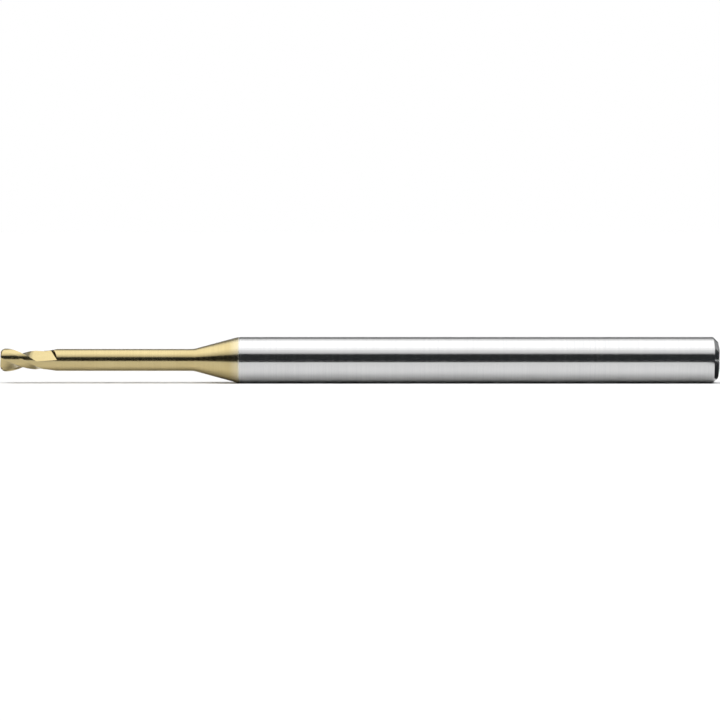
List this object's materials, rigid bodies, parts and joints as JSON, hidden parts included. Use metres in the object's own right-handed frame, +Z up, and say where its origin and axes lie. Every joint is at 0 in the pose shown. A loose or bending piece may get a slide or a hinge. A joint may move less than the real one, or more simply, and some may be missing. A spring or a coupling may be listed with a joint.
{
  "type": "end mill",
  "caption": "Long-neck corner-radius end mill: coated fluted head, slim neck and taper, brazed into a plain ground cylindrical shank",
  "frame": {"origin": "on the tool's axis, at the front end of the shank's cylindrical wall", "axes": "X is the tool's axis, with the tip towards -X and the shank towards +X; Z is up and Y completes the frame"},
  "size_m": [0.0626, 0.004, 0.004],
  "materials": {
    "coated_carbide": "pale gold nitride coating over ground carbide, satin, with fine grinding marks round the tool",
    "braze_alloy": "pale silver-brass braze line, satin",
    "ground_steel": "bright centreless-ground steel with fine marks round the tool"
  },
  "bodies": {
    "root": {"cutter": "coated_carbide", "braze_joint": "braze_alloy", "shank": "ground_steel"}
  },
  "joints": []
}
